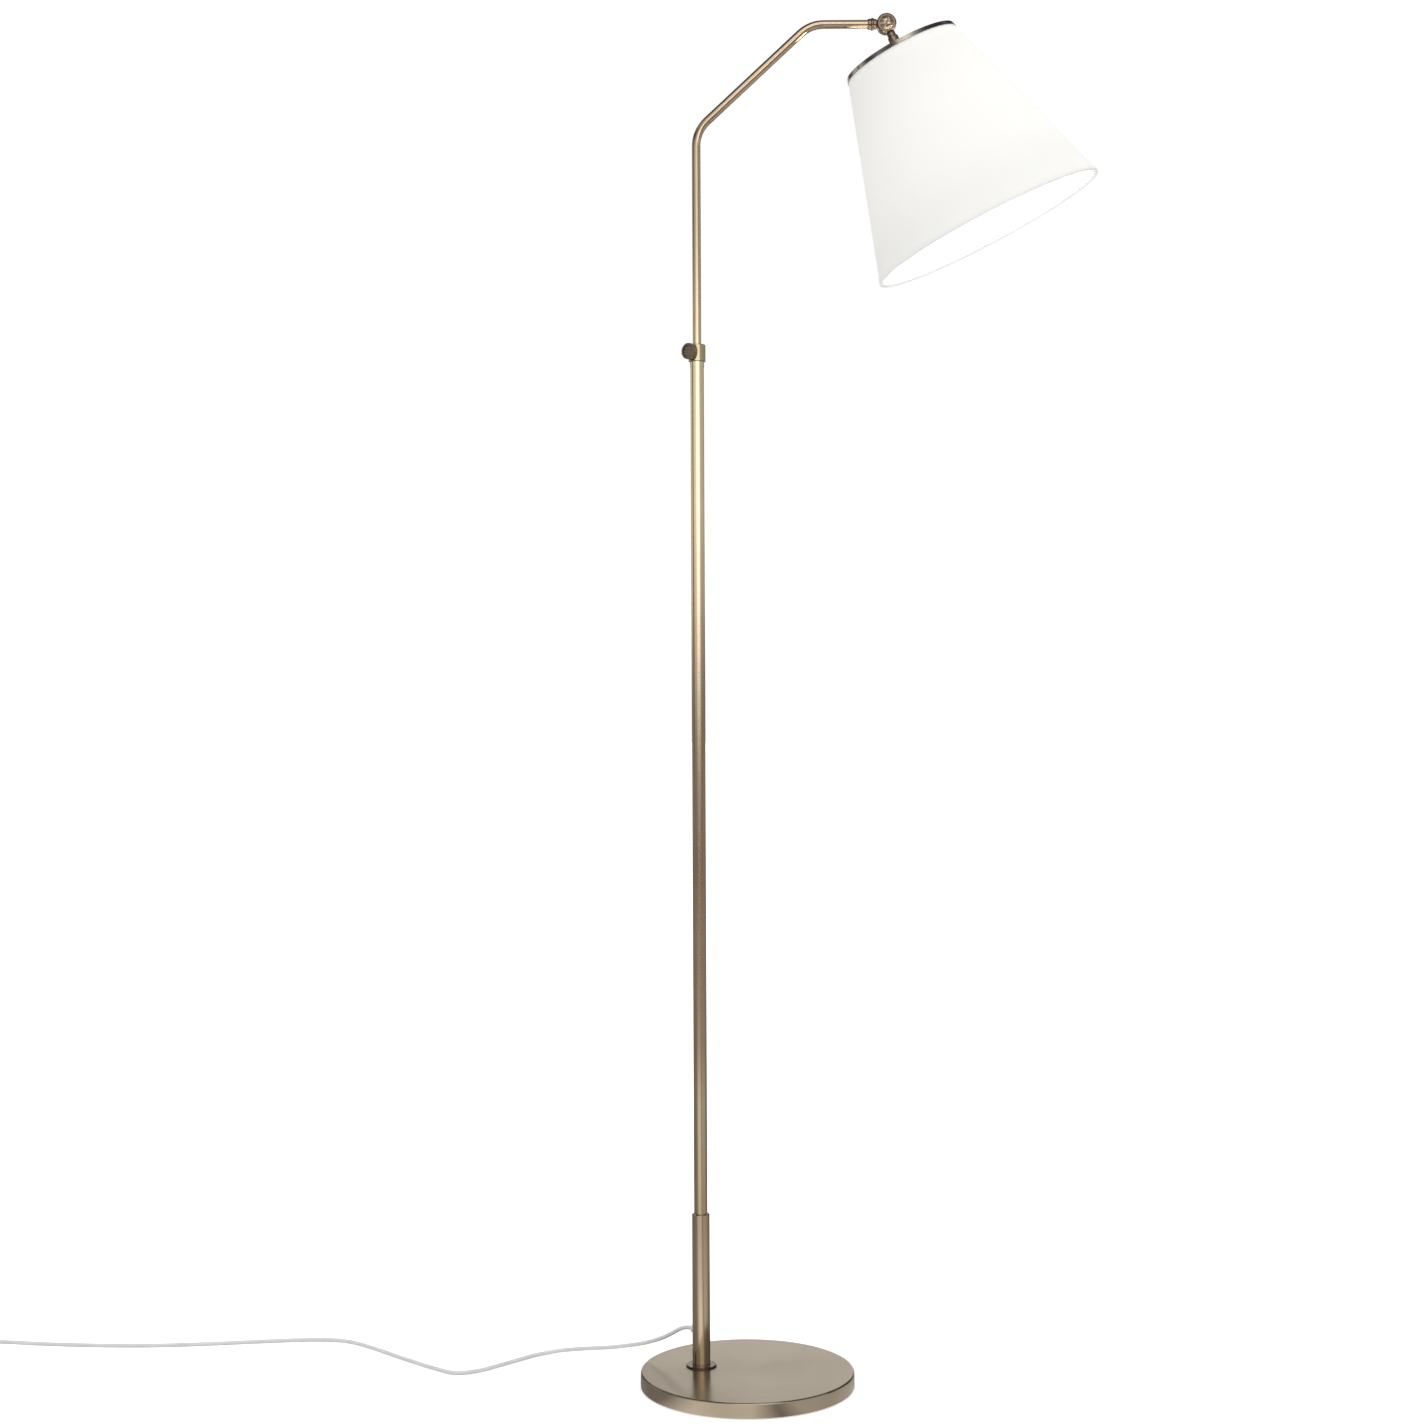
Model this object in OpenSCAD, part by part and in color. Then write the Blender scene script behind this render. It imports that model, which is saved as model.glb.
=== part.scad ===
// Floor lamp: round weighted base, off-centre pole, height collar with thumb knob,
// bent swing arm, tilting knuckle, tapered fabric shade, lamp holder, bulb and mains cord.
// Millimetres. The origin is the centre of the base's underside, +Z is up and
// +X points from the pole towards the shade.

/* [Base] */
// Diameter of the round base
base_d = 250; // [235:1:280]
// Height of the base's top face above the floor
base_h = 18; // [17:0.5:24]
// Distance from the base's centre to the pole, away from the shade
pole_back = 54; // [30:1:60]
// Sideways distance from the base's centre to the pole
pole_side = 17; // [0:1:20]
// Diameter of the flat ring under the sleeve
foot_ring_d = 36; // [30:1:44]

/* [Pole] */
// Outer diameter of the lower sleeve
sleeve_d = 21; // [20:0.5:26]
// Height of the sleeve's top edge above the floor
sleeve_top = 198; // [170:1:260]
// Outer diameter of the main pole
pole_d = 16; // [16:0.5:18]
// Height of the pole's top end above the floor
pole_top = 1198; // [1150:1:1260]
// Outer diameter of the height collar
collar_d = 20; // [19:0.5:20]
// Diameter of the knurled thumb knob
knob_d = 19; // [15:0.5:19]

/* [Arm] */
// Outer diameter of the arm tube
arm_d = 10; // [9.5:0.5:10.5]
// Distance from the pole axis to the tilt pivot
arm_reach = 223; // [200:1:250]
// Height of the tilt pivot above the pole's top end
pivot_rise = 393.5; // [385:0.5:430]
// Slope of the arm's diagonal run in degrees
arm_slope = 42.8; // [40:0.1:46]
// Distance from the upper bend's corner to the tilt pivot
level_run = 89; // [80:1:100]
// Bend radius of the arm at the tube's centre line
bend_r = 40; // [30:1:45]
// Diameter of the tilt knuckle's discs
knuckle_d = 23; // [21:0.5:24]

/* [Shade] */
// Lean of the shade from upright in degrees
shade_tilt = 26.3; // [0:0.1:40]
// Outer diameter of the shade's top edge
shade_top_d = 137; // [125:1:150]
// Outer diameter of the shade's bottom edge
shade_bottom_d = 282.8; // [260:0.1:300]
// Length of the shade along its axis
shade_len = 232; // [210:1:250]
// Thickness of the fabric and its liner
shade_wall = 1.2; // [1:0.1:2]
// Diameter of the bulb's globe
bulb_d = 60; // [45:1:65]

/* [Cord] */
// Diameter of the mains cord
cord_d = 5; // [4.5:0.1:5.4]

/* [Hidden] */
$fn = 72;
eps = 0.01;
run_gap = 0.05;

// Finishes
brass = [0.56, 0.47, 0.34];
dark_brass = [0.36, 0.29, 0.20];
iron = [0.22, 0.22, 0.23];
steel = [0.70, 0.70, 0.68];
white = [0.95, 0.94, 0.90];
felt = [0.10, 0.10, 0.10];

// Base
base_r = base_d / 2;
cover_wall = 1.2;
cover_edge = 2;
pad_h = 1.5;
pad_inset = 4;
pocket_r = 15;
pocket_top = 9.5;
washer_h = 1.5;
nut_h = 6;
stud_r = 5;
stud_foot = 2;
foot_ring_h = 2;
sleeve_foot = base_h + foot_ring_h;
insert_h = 18;

// Pole
sleeve_r = sleeve_d / 2;
pole_r = pole_d / 2;
pole_wall = 1;
pole_bore = pole_r - pole_wall;
pole_foot = 100;
band_h = 6;
band_r = pole_r + 0.3;
spigot_h = 20;
collar_r = collar_d / 2;
collar_h = 20;
arm_r = arm_d / 2;
arm_wall = 1;
guide_bore = arm_r + run_gap;

// Cord exit low on the sleeve
exit_z = 60;
exit_turn = 143;
grommet_r = 3.6;
grommet_flange_r = 5;
grommet_face = sleeve_r + 2;

// Thumb knob and clamp screw, measured out from the pole axis
clamp_z = pole_top + 11;
clamp_turn = 231;
knob_from = collar_r + 0.4;
knob_h = 7;
knob_teeth = 30;
screw_r = 2.5;
pad_from = arm_r + 0.3;
pad_to = arm_r + 1.7;
screw_from = pad_to + run_gap;

// Arm
arm_foot = pole_top - 98;
guide_h = 10;
pivot_z = pole_top + pivot_rise;
corner_x = arm_reach - level_run;
corner_z = pivot_z - corner_x * tan(arm_slope);
lower_turn = 90 - arm_slope;
lower_tangent = bend_r * tan(lower_turn / 2);
upper_tangent = bend_r * tan(arm_slope / 2);
diagonal = corner_x / cos(arm_slope) - lower_tangent - upper_tangent;
upright = corner_z - lower_tangent;
bend_thin = 0.02;
bend_lap = 0.1;

// Tilt knuckle
disc_r = knuckle_d / 2;
disc_from = 0.3;
disc_to = 7.3;
hollow_r = disc_r - 2.5;
hollow_to = 5.8;
boss_r = 4.5;
neck_r = 5;
neck_bore = 3;
pin_r = 2.5;
ferrule_r = 6.2;
bead_r = 1.5;
bead_at = 5.5;
ferrule_from = disc_r + 0.5;
ferrule_to = ferrule_from + 10;
tube_gap = ferrule_from + 6.5;
disc_edge = 1.5;
screw_head_r = 8;
screw_head_h = 3.2;
screw_rim = 0.6;
slot_w = 2;
slot_h = 1.6;
slot_turn = -67;
knuckle_nut_r = 5.2;
knuckle_nut_h = 4;

// Head, measured down the shade axis from the tilt pivot
stem_r = 6.3;
stem_from = 16;
stem_to = 36;
nipple_to = 48;
cap_r = 20;
cap_to = 54;
holder_r = 19;
holder_from = 48;
holder_to = 96;
flange_r = 22;
flange_from = 60;
hub_from = 62;
hub_h = 2;
hub_r = 30;
ring_nut_h = 8;
ring_nut_r = 27;
socket_r = 14;
socket_from = 60;
shell_wall = 0.7;
contact_r = 4;
switch_down = 84;
switch_r = 6;
switch_from = 23;
switch_h = 10;
switch_boss_r = 4;
switch_shaft_r = 2;

// Shade
shade_drop = 36.3;
top_r = shade_top_d / 2;
bottom_r = shade_bottom_d / 2;
flare = (bottom_r - top_r) / shade_len;
band_depth = 4.7;
band_wall = 0.7;
wire_r = 1.5;
frame_down = shade_drop + 3;
frame_r = top_r - shade_wall - wire_r - 0.1 + flare * 2.5;
hem_up = 2.2;
hem_r = bottom_r - shade_wall - wire_r - 0.2 - flare * hem_up;
spider_arms = 3;

// Bulb
bulb_r = bulb_d / 2;
cap_shell_r = 13.2;
bulb_cap_from = 67;
bulb_cap_to = 97;
bulb_mid = 110 + bulb_r;
bulb_wall = 1;
bulb_join = 13;

// Cord
cord_r = cord_d / 2;
inner_bend = 8;
slack_from = 640;
slack_swing = 3;
slack_turns = 5;
slack_rings = 60;
ring_pitch = 16;
cord_sides = 10;
route = [
    [-64, 24.5, 60],
    [-71, 29.8, 59.5],
    [-78.5, 35.6, 56.5],
    [-86, 41.5, 51],
    [-95, 48, 44.5],
    [-106, 56, 38],
    [-121, 66, 31],
    [-140, 78, 24.5],
    [-165, 95, 17],
    [-196, 114, 10],
    [-225, 124, 5],
    [-247, 121, 2.5],
    [-270, 101, 2.5],
    [-296, 74, 2.5],
    [-320, 52, 2.5],
    [-346, 43, 2.5],
    [-372, 60, 2.5],
    [-420, 105, 2.5],
    [-466, 151, 2.5],
    [-500, 176, 2.5],
    [-540, 182, 2.5],
    [-600, 176, 2.5],
    [-670, 166, 2.5],
    [-740, 160, 2.5],
    [-810, 162, 2.5],
    [-880, 170, 2.5],
    [-930, 176, 2.5],
    [-966, 177.5, 2.5]
];

// Coil and plug, lying on the floor at the far end of the route
coil_x = -985;
coil_y = 150;
coil_r = 27.5;
coil_w = 15;
coil_h = 10;
coil_edge = 2.5;
tail_x = coil_x - coil_r - 5;
tail_y = coil_y - 10;
plug_z = 7;
relief_y = coil_y - 52;
relief_len = 34;
relief_r = 5;
relief_tip_r = 3.2;
plug_y = relief_y - relief_len;
plug_len = 36;
plug_w = 35;
plug_neck = 15;
plug_pin_r = 2;
plug_pin_len = 19;
plug_pin_gap = 18.6;

// Smooth curve through four neighbouring points
function blend(a, b, c, d, t) =
    0.5 * (2 * b + (c - a) * t + (2 * a - 5 * b + 4 * c - d) * t * t
        + (3 * b - a - 3 * c + d) * t * t * t);
function above_floor(p) = [p.x, p.y, max(p.z, cord_r)];
function steps(a, b) = ceil(norm(b - a) / ring_pitch);
function smooth(pts) = concat(
    [
        for (i = [0:len(pts) - 2])
            let (
                a = pts[max(i - 1, 0)],
                b = pts[i],
                c = pts[i + 1],
                d = pts[min(i + 2, len(pts) - 1)],
                n = steps(b, c)
            )
            for (k = [0:n - 1])
                above_floor(blend(a, b, c, d, k / n))
    ],
    [pts[len(pts) - 1]]
);
function unit(v) = v / norm(v);
function along(path, i) = unit(path[min(i + 1, len(path) - 1)] - path[max(i - 1, 0)]);

// Wavy slack of the cord inside the pole, between the fixed run and the arm's foot
function slack_path() = [
    for (i = [0:slack_rings])
        let (
            u = i / slack_rings,
            swing = slack_swing * sin(180 * u),
            z = slack_from + 0.3 + u * (arm_foot - slack_from - 0.6)
        )
        [swing * cos(360 * slack_turns * u), swing * sin(360 * slack_turns * u), z]
];

// Round tube swept along a list of points
module sweep(path, r, ref) {
    last = len(path) - 1;
    pts = [
        for (i = [0:last])
            let (
                t = along(path, i),
                side = unit(cross(t, ref)),
                up = cross(side, t)
            )
            for (k = [0:cord_sides - 1])
                let (a = 360 * k / cord_sides - 90)
                path[i] + r * (cos(a) * side + sin(a) * up)
    ];
    walls = [
        for (i = [0:last - 1])
            for (k = [0:cord_sides - 1])
                let (
                    m = (k + 1) % cord_sides,
                    p = i * cord_sides,
                    q = p + cord_sides
                )
                for (f = [[p + k, p + m, q + m], [p + k, q + m, q + k]])
                    f
    ];
    start = [for (k = [cord_sides - 1:-1:0]) k];
    end = [for (k = [0:cord_sides - 1]) last * cord_sides + k];
    polyhedron(points = pts, faces = concat([start, end], walls), convexity = 10);
}

// Hollow cylinder standing on z = 0
module tube(r, bore, h) {
    difference() {
        cylinder(h = h, r = r);
        translate([0, 0, -eps])
            cylinder(h = h + 2 * eps, r = bore);
    }
}

// Placed on the pole's axis
module at_pole() {
    translate([-pole_back, pole_side, 0])
        children();
}

// Placed on the cord exit, +Z pointing out of the sleeve
module at_exit() {
    at_pole()
        translate([0, 0, exit_z])
            rotate([0, 0, exit_turn])
                rotate([0, 90, 0])
                    children();
}

// Placed on the clamp screw's axis, +Z pointing out of the collar
module at_clamp() {
    at_pole()
        translate([0, 0, clamp_z])
            rotate([0, 0, clamp_turn])
                rotate([0, 90, 0])
                    children();
}

// Placed on the tilt pivot
module at_pivot() {
    at_pole()
        translate([arm_reach, 0, pivot_z])
            children();
}

// Placed on the tilt pivot and leaning with the shade
module at_head() {
    at_pivot()
        rotate([0, -shade_tilt, 0])
            children();
}

// Placed on the switch's axis, +Z pointing out of the lamp holder
module at_switch() {
    at_head()
        translate([0, 0, -switch_down])
            rotate([90, 0, 0])
                children();
}

// Solid rod of radius r along the arm's centre line, from the knuckle end down to its foot.
// The bends are drawn a hair slimmer, and the straight runs reach a little way into them.
module arm_run(r, foot, end_x) {
    translate([arm_reach - level_run + upper_tangent, 0, pivot_z]) {
        translate([-bend_lap, 0, 0])
            rotate([0, 90, 0])
                cylinder(h = end_x - corner_x - upper_tangent + bend_lap, r = r);
        translate([0, 0, -bend_r])
            rotate([90, 0, 0])
                rotate([0, 0, 90]) {
                    ring_part(bend_r, r, arm_slope);
                    rotate([0, 0, arm_slope]) {
                        translate([bend_r, -bend_lap, 0])
                            rotate([-90, 0, 0])
                                cylinder(h = diagonal + 2 * bend_lap, r = r);
                        translate([0, diagonal, 0]) {
                            ring_part(bend_r, r, lower_turn);
                            rotate([0, 0, lower_turn])
                                translate([bend_r, -bend_lap, 0])
                                    rotate([-90, 0, 0])
                                        cylinder(h = upright - foot + bend_lap, r = r);
                        }
                    }
                }
    }
}

// Part of a ring, for a bend in a tube or a cord
module ring_part(ring_r, r, turn) {
    rotate_extrude(angle = turn)
        translate([ring_r, 0])
            circle(r = r - bend_thin);
}

module base_pad() {
    color(felt)
        cylinder(h = pad_h, r = base_r - pad_inset);
}

module base_weight() {
    color(iron)
        difference() {
            translate([0, 0, pad_h])
                cylinder(h = base_h - cover_wall - pad_h, r = base_r - cover_wall);
            at_pole()
                translate([0, 0, pad_h - eps])
                    cylinder(h = pocket_top - pad_h + eps, r = pocket_r);
            at_pole()
                cylinder(h = base_h, r = stud_r + 0.1);
        }
}

module base_cover() {
    color(brass)
        difference() {
            rotate_extrude()
                difference() {
                    union() {
                        translate([0, 1])
                            square([base_r - cover_edge, base_h - 1]);
                        translate([0, 1])
                            square([base_r, base_h - cover_edge - 1]);
                        translate([base_r - cover_edge, base_h - cover_edge])
                            circle(r = cover_edge);
                    }
                    square([base_r - cover_wall, base_h - cover_wall]);
                }
            at_pole()
                cylinder(h = base_h + 1, r = stud_r + 0.1);
        }
}

module threaded_stud() {
    color(steel)
        at_pole()
            translate([0, 0, stud_foot])
                cylinder(h = sleeve_foot + insert_h - 1 - stud_foot, r = stud_r);
}

module lock_washer() {
    color(steel)
        at_pole()
            translate([0, 0, pocket_top - washer_h])
                tube(12, stud_r, washer_h);
}

module base_nut() {
    color(steel)
        at_pole()
            translate([0, 0, pocket_top - washer_h - nut_h])
                difference() {
                    cylinder(h = nut_h, r = 9.8, $fn = 6);
                    translate([0, 0, -eps])
                        cylinder(h = nut_h + 2 * eps, r = stud_r);
                }
}

module foot_ring() {
    color(brass)
        at_pole()
            translate([0, 0, base_h])
                difference() {
                    union() {
                        cylinder(h = foot_ring_h - 0.6, r = foot_ring_d / 2);
                        translate([0, 0, foot_ring_h - 0.6])
                            cylinder(h = 0.6, r1 = foot_ring_d / 2, r2 = foot_ring_d / 2 - 0.6);
                    }
                    translate([0, 0, -eps])
                        cylinder(h = foot_ring_h + 2 * eps, r = stud_r);
                }
}

module sleeve_insert() {
    color(steel)
        at_pole()
            translate([0, 0, sleeve_foot])
                tube(pole_r, stud_r, insert_h);
}

module lower_sleeve() {
    color(brass)
        difference() {
            at_pole()
                translate([0, 0, sleeve_foot])
                    difference() {
                        union() {
                            cylinder(h = sleeve_top - sleeve_foot - 1, r = sleeve_r);
                            translate([0, 0, sleeve_top - sleeve_foot - 1])
                                cylinder(h = 1, r1 = sleeve_r, r2 = sleeve_r - 1);
                        }
                        translate([0, 0, -eps])
                            cylinder(h = sleeve_top, r = pole_r);
                    }
            at_exit()
                cylinder(h = sleeve_r + 5, r = grommet_r);
        }
}

module cord_grommet() {
    color(white)
        difference() {
            at_exit() {
                translate([0, 0, pole_r - 0.5])
                    cylinder(h = grommet_face - pole_r + 0.5, r = grommet_r);
                translate([0, 0, sleeve_r - 1.5])
                    cylinder(h = grommet_face - sleeve_r + 1.5, r = grommet_flange_r);
            }
            at_exit()
                cylinder(h = grommet_face + 1, r = cord_r);
            at_pole()
                translate([0, 0, exit_z - 20])
                    difference() {
                        cylinder(h = 40, r = sleeve_r);
                        translate([0, 0, 20])
                            rotate([0, 0, exit_turn])
                                rotate([0, 90, 0])
                                    cylinder(h = sleeve_r + 5, r = grommet_r);
                    }
        }
}

module main_pole() {
    color(brass)
        at_pole()
            translate([0, 0, pole_foot])
                tube(pole_r, pole_bore, pole_top - band_h - pole_foot);
}

module pole_bush() {
    color(brass)
        at_pole()
            translate([0, 0, pole_top - band_h - spigot_h])
                difference() {
                    union() {
                        cylinder(h = spigot_h, r = pole_bore);
                        translate([0, 0, spigot_h])
                            cylinder(h = band_h, r = band_r);
                    }
                    translate([0, 0, -eps])
                        cylinder(h = spigot_h + band_h + 2 * eps, r = guide_bore);
                }
}

module height_collar() {
    color(brass)
        difference() {
            at_pole()
                translate([0, 0, pole_top])
                    difference() {
                        union() {
                            cylinder(h = 0.6, r1 = collar_r - 0.6, r2 = collar_r);
                            translate([0, 0, 0.6])
                                cylinder(h = collar_h - 1.2, r = collar_r);
                            translate([0, 0, collar_h - 0.6])
                                cylinder(h = 0.6, r1 = collar_r, r2 = collar_r - 0.6);
                        }
                        translate([0, 0, -eps])
                            cylinder(h = collar_h + 2 * eps, r = guide_bore);
                    }
            at_clamp()
                cylinder(h = collar_r + 1, r = screw_r + run_gap);
        }
}

module clamp_knob() {
    color(brass)
        at_clamp()
            translate([0, 0, knob_from])
                difference() {
                    cylinder(h = knob_h, r = knob_d / 2);
                    translate([0, 0, knob_h - 1.4])
                        cylinder(h = 2, r = knob_d / 2 - 2.2);
                    translate([0, 0, -eps])
                        cylinder(h = 5, r = screw_r);
                    for (i = [0:knob_teeth - 1])
                        rotate([0, 0, 360 * i / knob_teeth])
                            translate([knob_d / 2 + 0.25, 0, -eps])
                                cylinder(h = knob_h + 1, r = 0.7, $fn = 16);
                }
}

module clamp_screw() {
    color(steel)
        at_clamp()
            translate([0, 0, screw_from])
                cylinder(h = knob_from + 5 - eps - screw_from, r = screw_r);
}

module clamp_pad() {
    color(steel)
        at_clamp()
            translate([0, 0, pad_from])
                cylinder(h = pad_to - pad_from, r = screw_r);
}

module arm_guide() {
    color(white)
        at_pole()
            translate([0, 0, arm_foot + 2])
                tube(pole_bore - run_gap, guide_bore, guide_h);
}

module arm_tube() {
    color(brass)
        at_pole()
            difference() {
                arm_run(arm_r, arm_foot, arm_reach - tube_gap);
                arm_run(arm_r - arm_wall, arm_foot - 1, arm_reach - tube_gap + 1);
            }
}

module arm_ferrule() {
    color(brass)
        at_pivot()
            translate([-ferrule_to, 0, 0])
                rotate([0, 90, 0])
                    difference() {
                        union() {
                            cylinder(h = 0.8, r1 = ferrule_r - 0.8, r2 = ferrule_r);
                            translate([0, 0, 0.8])
                                cylinder(h = ferrule_to - ferrule_from - 0.8, r = ferrule_r);
                            translate([0, 0, bead_at])
                                rotate_extrude()
                                    translate([ferrule_r - 0.3, 0])
                                        circle(r = bead_r, $fn = 32);
                        }
                        translate([0, 0, -eps])
                            cylinder(h = ferrule_to, r = arm_r);
                    }
}

// One disc of the knuckle on the +Y side, hollow for the wiring, its neck pointing along -X
module knuckle_half(bore) {
    difference() {
        union() {
            translate([0, disc_to - disc_edge, 0])
                rotate([90, 0, 0])
                    cylinder(h = disc_to - disc_edge - disc_from, r = disc_r);
            translate([0, disc_to, 0])
                rotate([90, 0, 0])
                    cylinder(h = disc_edge, r1 = disc_r - disc_edge, r2 = disc_r);
            translate([-ferrule_from - 6, 0, 0])
                rotate([0, 90, 0])
                    cylinder(h = ferrule_from + 6 - boss_r, r = neck_r);
        }
        translate([0, disc_from, 0])
            rotate([90, 0, 0])
                cylinder(h = 2 * disc_to, r = disc_r + 0.4);
        difference() {
            translate([0, hollow_to, 0])
                rotate([90, 0, 0])
                    cylinder(h = hollow_to + 1, r = hollow_r);
            translate([0, disc_to, 0])
                rotate([90, 0, 0])
                    cylinder(h = disc_to + 2, r = boss_r);
        }
        translate([0, disc_to + 1, 0])
            rotate([90, 0, 0])
                cylinder(h = disc_to + 2, r = bore);
        translate([-ferrule_to, 0, 0])
            rotate([0, 90, 0])
                cylinder(h = ferrule_to - boss_r - 1, r = neck_bore);
    }
}

module knuckle_arm_half() {
    color(brass)
        at_pivot()
            knuckle_half(pin_r);
}

module knuckle_head_half() {
    color(brass)
        at_head()
            rotate([0, -90, 0])
                mirror([0, 1, 0])
                    knuckle_half(pin_r + run_gap);
}

module knuckle_washer() {
    color(dark_brass)
        at_pivot()
            translate([0, disc_from, 0])
                rotate([90, 0, 0])
                    tube(disc_r - 0.3, hollow_r + 0.1, 2 * disc_from);
}

// Domed head of the knuckle screw, standing on its flat side
module screw_dome() {
    rise = screw_head_h - screw_rim;
    dome_r = (pow(screw_head_r, 2) + pow(rise, 2)) / (2 * rise);
    intersection() {
        cylinder(h = screw_head_h, r = screw_head_r);
        translate([0, 0, screw_head_h - dome_r])
            sphere(r = dome_r);
    }
}

module knuckle_screw() {
    color(brass)
        at_pivot()
            difference() {
                union() {
                    translate([0, disc_to + knuckle_nut_h, 0])
                        rotate([90, 0, 0])
                            cylinder(h = 2 * disc_to + knuckle_nut_h + 1, r = pin_r);
                    translate([0, -disc_to - run_gap, 0])
                        rotate([90, 0, 0])
                            screw_dome();
                }
                rotate([0, slot_turn, 0])
                    translate([-2 * screw_head_r, -disc_to - screw_head_h - 1, -slot_w / 2])
                        cube([4 * screw_head_r, 1 + slot_h, slot_w]);
            }
}

module knuckle_nut() {
    color(brass)
        at_pivot()
            translate([0, disc_to + knuckle_nut_h, 0])
                rotate([90, 0, 0])
                    difference() {
                        cylinder(h = knuckle_nut_h, r = knuckle_nut_r, $fn = 6);
                        translate([0, 0, -eps])
                            cylinder(h = knuckle_nut_h + 2 * eps, r = pin_r);
                    }
}

module head_stem() {
    color(brass)
        at_head()
            translate([0, 0, -stem_to])
                difference() {
                    union() {
                        cylinder(h = stem_to - stem_from - 1, r = stem_r);
                        translate([0, 0, stem_to - stem_from - 1])
                            cylinder(h = 1, r1 = stem_r, r2 = stem_r - 1);
                    }
                    translate([0, 0, -eps])
                        cylinder(h = stem_to, r = neck_r);
                }
}

module stem_nipple() {
    color(steel)
        at_head()
            translate([0, 0, -nipple_to])
                tube(neck_r, neck_bore, nipple_to - ferrule_from - 7);
}

module socket_cap() {
    color(brass)
        at_head()
            difference() {
                union() {
                    translate([0, 0, -cap_to])
                        cylinder(h = cap_to - stem_to - 3, r = cap_r);
                    translate([0, 0, -stem_to - 3])
                        cylinder(h = 3, r1 = cap_r, r2 = cap_r - 3);
                }
                translate([0, 0, -cap_to - eps])
                    cylinder(h = cap_to - stem_to - 3, r = holder_r + 0.05);
                translate([0, 0, -cap_to])
                    cylinder(h = cap_to - stem_to + 1, r = neck_r);
            }
}

module lamp_holder() {
    color(white)
        difference() {
            union() {
                at_head()
                    translate([0, 0, -holder_to])
                        cylinder(h = holder_to - holder_from, r = holder_r);
                at_head()
                    translate([0, 0, -hub_from])
                        cylinder(h = hub_from - flange_from, r = flange_r);
                at_switch()
                    translate([0, 0, socket_r + 1])
                        cylinder(h = switch_from - socket_r - 1.5, r = switch_boss_r);
            }
            at_head()
                translate([0, 0, -holder_to - eps])
                    cylinder(h = holder_to - socket_from + 2 * eps, r = socket_r);
            at_head()
                translate([0, 0, -holder_to])
                    cylinder(h = holder_to, r = contact_r - 1);
            at_switch()
                translate([0, 0, socket_r + 2])
                    cylinder(h = switch_from, r = switch_shaft_r + run_gap);
        }
}

module socket_shell() {
    color(brass)
        at_head()
            translate([0, 0, -holder_to + 2])
                tube(socket_r, socket_r - shell_wall, holder_to - socket_from - 4);
}

module socket_contact() {
    color(steel)
        at_head()
            translate([0, 0, -socket_from - 2.4])
                cylinder(h = 2.4, r = contact_r);
}

module switch_knob() {
    color(dark_brass)
        at_switch()
            difference() {
                union() {
                    translate([0, 0, socket_r + 2.2])
                        cylinder(h = switch_from - socket_r - 1.2, r = switch_shaft_r);
                    translate([0, 0, switch_from])
                        cylinder(h = switch_h, r1 = switch_r, r2 = switch_r - 0.8);
                }
                for (i = [0:11])
                    rotate([0, 0, 30 * i])
                        translate([switch_r, 0, switch_from - eps])
                            cylinder(h = switch_h + 1, r = 0.6, $fn = 16);
            }
}

module shade_nut() {
    color(white)
        at_head()
            translate([0, 0, -hub_from - hub_h - ring_nut_h])
                tube(ring_nut_r, holder_r + 0.05, ring_nut_h);
}

// Hub, three arms and top wire ring, welded into one frame
module shade_spider() {
    arm_rise = frame_down - hub_from - hub_h / 2;
    arm_out = frame_r - hub_r + 3;
    color(steel)
        at_head() {
            translate([0, 0, -hub_from - hub_h])
                tube(hub_r, holder_r + 0.1, hub_h);
            for (i = [0:spider_arms - 1])
                rotate([0, 0, 30 + 360 * i / spider_arms])
                    translate([hub_r - 3, 0, -hub_from - hub_h / 2])
                        rotate([0, atan2(arm_out, -arm_rise), 0])
                            cylinder(h = norm([arm_out, arm_rise]), r = wire_r, $fn = 24);
            translate([0, 0, -frame_down])
                rotate_extrude()
                    translate([frame_r, 0])
                        circle(r = wire_r, $fn = 24);
        }
}

module shade_fabric() {
    color(white)
        at_head()
            rotate_extrude()
                polygon([
                    [top_r - shade_wall, -shade_drop - 0.5],
                    [top_r, -shade_drop - 0.5],
                    [bottom_r, -shade_drop - shade_len],
                    [bottom_r - shade_wall, -shade_drop - shade_len]
                ]);
}

module shade_top_band() {
    band_r_low = top_r + (band_depth - 0.5) * (bottom_r - top_r) / (shade_len - 0.5);
    color(dark_brass)
        at_head()
            rotate_extrude()
                polygon([
                    [top_r - shade_wall - 0.6, -shade_drop],
                    [top_r + band_wall, -shade_drop],
                    [band_r_low + band_wall, -shade_drop - band_depth],
                    [band_r_low, -shade_drop - band_depth],
                    [top_r, -shade_drop - 0.5],
                    [top_r - shade_wall - 0.6, -shade_drop - 0.5]
                ]);
}

module shade_hem_ring() {
    color(steel)
        at_head()
            translate([0, 0, -shade_drop - shade_len + hem_up])
                rotate_extrude()
                    translate([hem_r, 0])
                        circle(r = wire_r, $fn = 24);
}

module bulb_base() {
    color(steel)
        at_head() {
            translate([0, 0, -bulb_cap_to])
                cylinder(h = bulb_cap_to - bulb_cap_from, r = cap_shell_r);
            translate([0, 0, -bulb_cap_from])
                cylinder(h = bulb_cap_from - socket_from - 2.4, r1 = 10, r2 = 4.5);
        }
}

// Pear shape of the globe, shrunk by a wall thickness for its hollow
module bulb_form(inset) {
    translate([0, 0, -bulb_mid])
        sphere(r = bulb_r - inset);
    translate([0, 0, -bulb_mid + bulb_join])
        cylinder(
            h = bulb_mid - bulb_join - bulb_cap_to + inset,
            r1 = sqrt(pow(bulb_r, 2) - pow(bulb_join, 2)) - inset,
            r2 = cap_shell_r - inset
        );
}

module bulb_glass() {
    color(white)
        at_head()
            difference() {
                bulb_form(0);
                bulb_form(bulb_wall);
            }
}

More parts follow.
